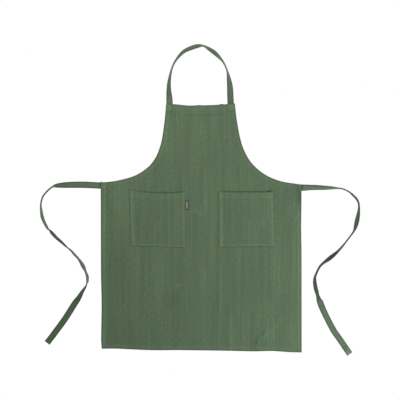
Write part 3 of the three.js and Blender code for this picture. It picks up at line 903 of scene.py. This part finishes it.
RIGHT_TIE_ROUTE = (
    (0.330, 0.043, 0), (0.352, 0.043, 0), (0.364, 0.043, 12), (0.382, 0.0435, 32),
    (0.406, 0.0435, 39), (0.433, 0.0425, 50), (0.461, 0.042, 65), (0.477, 0.041, 78),
    (0.496, 0.0385, 87), (0.517, 0.029, 84), (0.531, 0.0175, 76), (0.544, 0.004, 75),
    (0.5515, -0.011, 80), (0.5525, -0.031, 75), (0.550, -0.052, 60), (0.5455, -0.0745, 50),
    (0.5405, -0.094, 61), (0.5345, -0.109, 78), (0.5255, -0.122, 85), (0.5105, -0.1415, 86),
    (0.496, -0.160, 78), (0.482, -0.1755, 73), (0.471, -0.186, 64), (0.4585, -0.1965, 55),
    (0.448, -0.205, 56), (0.429, -0.219, 72), (0.417, -0.231, 75), (0.406, -0.252, 76),
    (0.400, -0.267, 73), (0.399, -0.2835, 60), (0.402, -0.3055, 55), (0.4055, -0.3185, 54),
    (0.4085, -0.3295, 62), (0.4135, -0.346, 42), (0.4185, -0.3575, 8), (0.4295, -0.3845, -10),
    (0.465, -0.454, -13), (0.4845, -0.482, -13), (0.5213, -0.536, -13),
)
print("points on the routes:", len(NECK_ROUTE), len(LEFT_TIE_ROUTE), len(RIGHT_TIE_ROUTE))

# %% Section of a strap
STRAP_WIDTH = 0.0222
STRAP_THICK = 0.0020
STRAP_ROLL = 0.0011
STRAP_STITCH = 0.0026
STRAP_CUTS = np.array([0, 0.15, 0.45, 0.9, 1.5, 2.1, 2.6, 3.1, 4, 5.5, 7.2, 9]) / 1000
DENT_SHARE = 0.6  # of a groove in the panel

from_strap_edge = np.concatenate([STRAP_CUTS, [STRAP_WIDTH / 2], STRAP_CUTS[::-1]])
strap_across = np.concatenate([STRAP_WIDTH / 2 - STRAP_CUTS, [0], STRAP_CUTS[::-1] - STRAP_WIDTH / 2])
edge_share = rolled(from_strap_edge, STRAP_ROLL)
strap_half = STRAP_THICK / 2 * edge_share - DENT_SHARE * groove(from_strap_edge, STRAP_STITCH)
print("points across a strap:", len(strap_across))

# %% Stations of a strap
STRAP_STEP = 0.0022
END_CUTS = np.array([0, 0.2, 0.6, 1.2]) / 1000
ROUTE_WEIGHTS = (1000, 1000, 1)  # a millimetre of way counts as a degree of roll


def strap_stations(route):
    """Distances along a strap, close together at its ends, with x, y and roll at each."""
    line = smooth_line(np.array(route) * ROUTE_WEIGHTS) / ROUTE_WEIGHTS
    length = lengths_along(line)[-1]
    steps = round(length / STRAP_STEP)
    even = np.linspace(END_CUTS[-1], length - END_CUTS[-1], steps + 1)[1:-1]
    along = np.concatenate([END_CUTS, even, length - END_CUTS[::-1]])
    return along, points_at(line, along)


print("stations of the neck strap:", len(strap_stations(NECK_ROUTE)[0]))

# %% Tone of a strap
# Painted shade along a strap's edges, where it stands on an edge, and on a raised edge
STRAP_DARKER = 0.52
STRAP_SHADE = (0.0005, 0.0053)  # from the edge: where it is darkest, and where that ends
STANDING_DARKER = 0.25
RAISED_EDGE = (0.0020, 0.0045)  # height of an edge over the middle
NECK_PAINTED_SHADING = (  # distance along the strap, and its tone there: painted light and shade of its twists, folds and the panel's shadow
    (0.03, 1.20), (0.07, 1.28), (0.10, 1.18), (0.15, 1.15), (0.17, 1.0), (0.19, 0.86), (0.38, 0.84),
    (0.405, 1.0), (0.435, 1.0), (0.45, 0.88), (0.55, 0.90),
)
LEFT_TIE_PAINTED_SHADING = (
    (0.025, 1.30), (0.045, 1.15), (0.140, 1.10), (0.25, 1.0), (0.36, 1.0), (0.375, 0.80), (0.388, 1.2),
    (0.407, 1.2), (0.42, 0.90), (0.435, 0.85), (0.45, 1.0), (0.60, 1.0), (0.65, 0.95), (0.85, 0.92),
)
RIGHT_TIE_PAINTED_SHADING = (
    (0.0225, 0.60), (0.0255, 0.75), (0.0285, 1.15), (0.036, 1.35), (0.06, 1.25), (0.13, 1.15),
    (0.20, 0.95), (0.40, 0.90), (0.425, 0.70), (0.44, 0.45), (0.485, 0.45), (0.51, 0.60), (0.525, 0.85),
    (0.555, 0.75), (0.575, 0.98), (0.60, 1.12), (0.635, 1.15), (0.66, 1.0),
    (0.808, 0.99), (0.8155, 1.09), (0.826, 0.78), (0.835, 1.02), (0.841, 1.28), (0.847, 1.38),
    (0.852, 1.15),
)


def strap_tone(along, roll, painted_shading, raised_edge_shade):
    """Tone of a strap: painted shade along its edges, where it stands and where an edge is raised, and
    painted light and shade along its length.
    """
    tone = 1 - STRAP_DARKER * (1 - smooth(from_strap_edge, *STRAP_SHADE))
    tone = tone * (1 - STANDING_DARKER * (1 - np.abs(np.cos(roll))))
    raised = smooth(strap_across * np.sin(roll), *RAISED_EDGE) * np.cos(roll) ** 2
    return tone * (1 - raised_edge_shade * raised) * np.interp(along, *np.transpose(painted_shading))[:, None]


print("faded places:", len(NECK_PAINTED_SHADING), len(LEFT_TIE_PAINTED_SHADING), len(RIGHT_TIE_PAINTED_SHADING))

# %% Two faces of a strap
END_HEM = 0.014  # turned end of a tie
END_STITCH = END_HEM - 0.0015
END_RISE = 0.00035
END_SLOPE = 0.002
LAYERS_OPEN = 1.6  # how much the folded layers part where the strap stands upright
OPEN_POWER = 12  # they part only close to upright
UP = np.array([0, 0, 1.0])


def strap_faces(along, stations, sideways, roll, hemmed_end):
    """Points of both faces of a strap that lies on the floor."""
    to_go = (along[-1] - along)[:, None]
    half = strap_half * rolled(np.minimum(along[:, None], to_go), STRAP_ROLL)
    half = half * (1 + LAYERS_OPEN * (1 - np.abs(np.cos(roll))) ** OPEN_POWER)
    if hemmed_end:
        half = half + END_RISE * edge_share * (1 - smooth(to_go, END_HEM, END_HEM + END_SLOPE))
        half = half - DENT_SHARE * groove(to_go, END_STITCH)
    sections = []
    for sign in (1, -1):
        aside = strap_across * np.cos(roll) - sign * half * np.sin(roll)
        rise = strap_across * np.sin(roll) + sign * half * np.cos(roll)
        sections.append((aside[:, :, None], rise[:, :, None]))
    lowest = np.minimum(sections[0][1].min(1), sections[1][1].min(1))[:, None]
    middle = np.column_stack([stations[:, :2], np.zeros(len(along))])[:, None, :]
    return [middle + aside * sideways + (rise - lowest) * UP for aside, rise in sections]


print("a tie's end is turned by", 1000 * END_HEM, "mm")


# %% Strap meshes
def strap_seams(front, back, normal, end_row):
    """Seam lines along both edges, and across a hemmed end, each with its normals."""
    stitched = cut_at(STRAP_CUTS, STRAP_STITCH)
    seams = []
    for column in (stitched, -1 - stitched):
        seams += [(front[:, column], normal), (back[:, column], -normal)]
    if end_row is not None:
        inner = slice(stitched, len(strap_across) - stitched)
        across_end = np.tile(normal[end_row], (len(strap_across) - 2 * stitched, 1))
        seams += [(front[end_row, inner], across_end), (back[end_row, inner], -across_end)]
    return seams


def add_strap(name, node, route, painted_shading, raised_edge_shade, hemmed_end):
    """Adds a strap along its route and gives it back with its seams and its length."""
    along, stations = strap_stations(route)
    length = along[-1]
    heading = tangents(stations)
    sideways = np.stack([-heading[:, 1], heading[:, 0], np.zeros(len(along))], -1)[:, None, :]
    roll = np.radians(stations[:, 2])[:, None]
    front, back = strap_faces(along, stations, sideways, roll, hemmed_end)
    cloth = np.stack(np.broadcast_arrays(strap_across[None, :], along[:, None], 0.0), -1)
    tone = strap_tone(along, roll, painted_shading, raised_edge_shade)
    piece = add_cloth(name, front, back, strap_canvas, cloth, tone)
    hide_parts(node)
    normal = np.cos(roll) * UP - np.sin(roll) * sideways[:, 0, :]
    end_row = cut_at(length - along, END_STITCH) if hemmed_end else None
    print(f"{name}: {length:.3f} m long")
    return piece, strap_seams(front, back, normal, end_row), length


STRAPS = (  # piece, node, route, painted light and shade along it, how much painted shade a raised edge gets, and if the far end is hemmed
    ("neck_strap_cloth", "neck_strap", NECK_ROUTE, NECK_PAINTED_SHADING, 0.05, False),
    ("left_tie_cloth", "waist_tie_left", LEFT_TIE_ROUTE, LEFT_TIE_PAINTED_SHADING, 0.10, True),
    ("right_tie_cloth", "waist_tie_right", RIGHT_TIE_ROUTE, RIGHT_TIE_PAINTED_SHADING, 0.35, True),
)
straps = {name: add_strap(name, *rest) for name, *rest in STRAPS}

# %% [markdown]
# ## The tag
#
# A short length of tape is folded in half, and both ends are caught in the left pocket's inner seam. It
# is swept along the seam as one folded strip, so that both layers and the soft fold show from the side.

# %% Fold of the tag
TAG_WIDTH = 0.0138
TAG_LENGTH = 0.0335
TAG_TOP = -0.0010
TAPE = 0.0004
LAYER_GAP = 0.0003
REACH_STEPS = 12
FOLD_STEPS = 9

*_, seam_top, _, seam_foot = POCKETS[0]
seam_top, seam_foot = np.array(seam_top), np.array(seam_foot)
tag_share = (TAG_TOP - seam_foot[1]) / (seam_top[1] - seam_foot[1])
tag_corner = seam_foot + (seam_top - seam_foot) * tag_share + (PANEL_GAP, 0)
down_seam = (seam_foot - seam_top) / np.hypot(*(seam_foot - seam_top))
off_seam = np.array([-down_seam[1], down_seam[0]])

bend = TAPE / 2 + LAYER_GAP / 2
turn = np.linspace(-math.pi / 2, math.pi / 2, FOLD_STEPS)
reach_out = np.linspace(0, TAG_WIDTH - bend - TAPE / 2, REACH_STEPS)
fold_x, fold_z = reach_out[-1] + bend * np.cos(turn), bend + bend * np.sin(turn)
path = np.concatenate([
    np.stack([reach_out[:-1], np.zeros(REACH_STEPS - 1)], -1),
    np.stack([fold_x, fold_z], -1),
    np.stack([reach_out[-2::-1], np.full(REACH_STEPS - 1, 2 * bend)], -1),
])
path_normal = np.gradient(path, axis=0)
path_normal = np.stack([path_normal[:, 1], -path_normal[:, 0]], -1)
path_normal /= np.hypot(*path_normal.T)[:, None]
print("length round the fold in mm:", (1000 * lengths_along(path)[-1]).round(1))

# %% Tag mesh
TAG_ROLL = 0.0006
TAG_LEAST = 0.1  # share of the thickness that is left at the side edges
TAG_ROWS = 22
END_BORDER = (0.0040, 0.0065)  # from an edge: where the dark border starts to end, and is over; the end borders are darker yarn and also painted shade at the tape's ends
SIDE_BORDERS = (0.0022, 0.0042, 0.0076, 0.0096)  # from the seam: the middle starts, is full, wanes, ends

even_rows = np.linspace(END_CUTS[-1], TAG_LENGTH - END_CUTS[-1], TAG_ROWS)
down = np.concatenate([END_CUTS[:-1], even_rows, TAG_LENGTH - END_CUTS[-2::-1]])
from_tag_end = np.minimum(down, TAG_LENGTH - down)
tag_rim = TAG_LEAST + (1 - TAG_LEAST) * rolled(from_tag_end, TAG_ROLL)
tag_floor = CLOTH + PANEL_GAP + TAPE / 2


def tag_face(sign):
    """One face of the tape: rows down the seam, columns round the fold."""
    offset = path[None] + sign * TAPE / 2 * tag_rim[:, None, None] * path_normal[None]
    plan = tag_corner + down[:, None, None] * down_seam + offset[:, :, :1] * off_seam
    return np.dstack([plan, tag_floor + offset[:, :, 1]])


end_border = smooth(from_tag_end, *END_BORDER)[:, None]
side_border = strip(path[:, 0], *SIDE_BORDERS)[None, :]
tag_cloth = np.stack(np.broadcast_arrays(lengths_along(path)[None, :], down[:, None], 0.0), -1)
tag = add_cloth("folded_tag", tag_face(1), tag_face(-1), tag_tape, tag_cloth, end_border * side_border)
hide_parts("pocket_label")

# %% [markdown]
# ## Stitches
#
# The seams are lockstitched, about three millimetres to a stitch. Bump could suggest them, but real
# stitches hold up from near by, so each is a small spindle of thread that lies in its groove. They are
# made all at once from arrays, with one joined mesh for each piece that they hold.

# %% Spindle of one stitch
STITCH_LENGTH = 0.0030
STITCH_PITCH = 0.0038
THREAD_WIDTH = 0.0008  # about twice the real thread, so that it shows
STITCH_SIDES = 6
RING = 0.62  # place of the outer rings, as a share of half a stitch

ring_places = np.array([-RING, 0.0, RING])
ring_angles = np.arange(STITCH_SIDES) * 2 * math.pi / STITCH_SIDES
ring_size = np.sqrt(1 - ring_places ** 2)
spindle = [(-1.0, 0.0, 0.0)]
for place, size in zip(ring_places, ring_size):
    spindle += [(place, size * math.cos(a), size * math.sin(a)) for a in ring_angles]
spindle = np.array(spindle + [(1.0, 0.0, 0.0)]) * (STITCH_LENGTH / 2, THREAD_WIDTH / 2, THREAD_WIDTH / 2)

around = np.arange(STITCH_SIDES)
beside = (around + 1) % STITCH_SIDES
last = len(spindle) - 1
spindle_faces = [np.stack([np.zeros_like(around), 1 + beside, 1 + around], -1)]
for ring in range(len(ring_places) - 1):
    here, there = 1 + ring * STITCH_SIDES, 1 + (ring + 1) * STITCH_SIDES
    spindle_faces.append(np.stack([here + around, here + beside, there + beside], -1))
    spindle_faces.append(np.stack([here + around, there + beside, there + around], -1))
end_ring = last - STITCH_SIDES
spindle_faces.append(np.stack([end_ring + around, end_ring + beside, np.full_like(around, last)], -1))
spindle_faces = np.concatenate(spindle_faces)
print("triangles of a stitch:", len(spindle_faces))

# %% Stitches along seams
HEADING_STEP = 0.0012  # to either side of a stitch's middle, to find which way it points


def add_stitches(name, seams):
    """Adds one mesh of stitches along seams, each a line on the cloth with its normals."""
    points, measures = [], []
    for line, normals in seams:
        steps = np.linalg.norm(np.diff(line, axis=0), axis=1)
        here = np.concatenate([[0], np.cumsum(steps)])
        count = max(1, int(here[-1] // STITCH_PITCH))
        places = (np.arange(count) + 0.5) * here[-1] / count
        wanted = ((line, 0), (line, HEADING_STEP), (line, -HEADING_STEP), (normals, 0))
        centre, ahead, behind, normal = (
            np.stack([np.interp(places + shift, here, column) for column in values.T], -1)
            for values, shift in wanted
        )
        heading = ahead - behind
        heading /= np.linalg.norm(heading, axis=1)[:, None]
        side = np.cross(normal, heading)
        side /= np.linalg.norm(side, axis=1)[:, None]
        axes = np.stack([heading, side, np.cross(heading, side)], 1)
        points.append(np.einsum("pk,skx->spx", spindle, axes) + centre[:, None, :])
        measures.append(np.tile(spindle, (count, 1)))
    points = np.concatenate([group.reshape(-1, 3) for group in points])
    stitches = len(points) // len(spindle)
    faces = (np.arange(stitches)[:, None, None] * len(spindle) + spindle_faces).reshape(-1, 3)
    return add_piece(name, points, faces, seam_thread, {"cloth": np.concatenate(measures)})


def flat_seam(line):
    """A seam on cloth that lies flat, whose normals point up."""
    return line, np.tile(UP, (len(line), 1))


print("stitches to the metre:", round(1 / STITCH_PITCH))

# %% Seams of the panel
TACK_POINTS = 60

side_cut = cut_at(EDGE_CUTS, HEM_STITCH)
bib_cut = -1 - cut_at(BIB_CUTS, BIB_STITCH)
panel_seams = [
    flat_seam(panel_grid[side_cut:, side_cut]),
    flat_seam(panel_grid[side_cut:, -1 - side_cut]),
    flat_seam(panel_grid[side_cut, side_cut:-side_cut]),
    flat_seam(panel_grid[bib_cut, side_cut:-side_cut]),
]
panel_tree = BVHTree.FromPolygons(
    [v.co for v in panel.data.vertices], [tuple(p.vertices) for p in panel.data.polygons]
)
for low_x, low_y, high_x, high_y, _ in TACKS:
    box = np.array([(low_x, low_y), (high_x, low_y), (high_x, high_y), (low_x, high_y), (low_x, low_y)])
    round_box = points_at(box, np.linspace(0, lengths_along(box)[-1], TACK_POINTS))
    hits = [panel_tree.ray_cast(Vector((x, y, 1.0)), -Vector(UP)) for x, y in round_box]
    panel_seams.append((np.array([hit[0] for hit in hits]), np.array([hit[1] for hit in hits])))
panel_stitches = add_stitches("panel_stitches", panel_seams)

# %% Seams of the pockets and straps
for side, lines in pocket_seams.items():
    add_stitches(f"{side}_pocket_stitches", [flat_seam(line) for line in lines])
for name, (_, seams, _) in straps.items():
    add_stitches(name.replace("cloth", "stitches"), seams)

# %% [markdown]
# ## Pieces of cloth
#
# The panel, the tag, the two pockets and the three straps are the pieces of cloth, and their count is
# printed.

print("sheets declared:", 2 + len(pockets) + len(straps))

# %% [markdown]
# ## Floor and light
#
# The photograph's ground is pure white without any shadow, as if it had been whitened after the shot.
# The light is soft and stronger from the right, so the lower left of the cloth is the darkest. Brighter
# lamps could drown the shadows, but they would wash out the cloth and eat into its edges. So the floor
# is white paper for the light that bounces off it, and flat white for the camera. A Light Path node
# tells the two apart. An even world and two broad lamps light the cloth, and the standard view
# transform shows white as white.

# %% Floor
FLOOR_SIZE = 14.0
FLOOR_DROP = 0.0002  # below the apron, so that the two never touch

corners = [(x * FLOOR_SIZE / 2, y * FLOOR_SIZE / 2) for x, y in ((-1, -1), (1, -1), (1, 1), (-1, 1))]
floor_mesh = bpy.data.meshes.new("floor")
floor_mesh.from_pydata([(x, y, -FLOOR_DROP) for x, y in corners], [], [(0, 1, 2, 3)])
white_paper, floor_tree, paper = new_material("white_paper_ground")
paper.inputs["Base Color"].default_value = linear("#F7F7F5")
paper.inputs["Roughness"].default_value = 0.9
flat_white = add_node(floor_tree, "Emission", {"Color": (1, 1, 1, 1), "Strength": 1.0})
seen = add_node(floor_tree, "LightPath", {}).outputs["Is Camera Ray"]
ground = add_node(floor_tree, "MixShader", {0: seen, 1: paper.outputs[0], 2: flat_white.outputs[0]})
floor_tree.links.new(ground.outputs[0], floor_tree.nodes["Material Output"].inputs["Surface"])
floor_mesh.materials.append(white_paper)
floor = add_object("floor", floor_mesh)
print("floor:", FLOOR_SIZE, "m square")

# %% Lamps and world
WORLD_LEVEL = 0.60
LAMPS = (  # name, colour, place, size in metres and power in watts
    ("right_softbox", "#F4FAFF", (1.60, -0.75, 1.05), 0.9, 36.5),
    ("upper_softbox", "#FFFFFF", (-0.10, 1.05, 0.85), 0.8, 9.0),
)

for name, colour, place, size, power in LAMPS:
    lamp = add_object(name, bpy.data.lights.new(name, "AREA"))
    lamp.data.color = linear(colour)[:3]
    lamp.data.energy = power
    lamp.data.size = size
    lamp.location = place
    lamp.rotation_mode = "QUATERNION"
    lamp.rotation_quaternion = (-Vector(place)).to_track_quat("-Z", "Y")

world = bpy.data.worlds.new("even_studio")
world.use_nodes = True
world.node_tree.nodes["Background"].inputs["Color"].default_value = (1, 1, 1, 1)
world.node_tree.nodes["Background"].inputs["Strength"].default_value = WORLD_LEVEL
bpy.context.scene.world = world
bpy.context.scene.view_settings.view_transform = "Standard"
print("lamps:", [name for name, *_ in LAMPS])
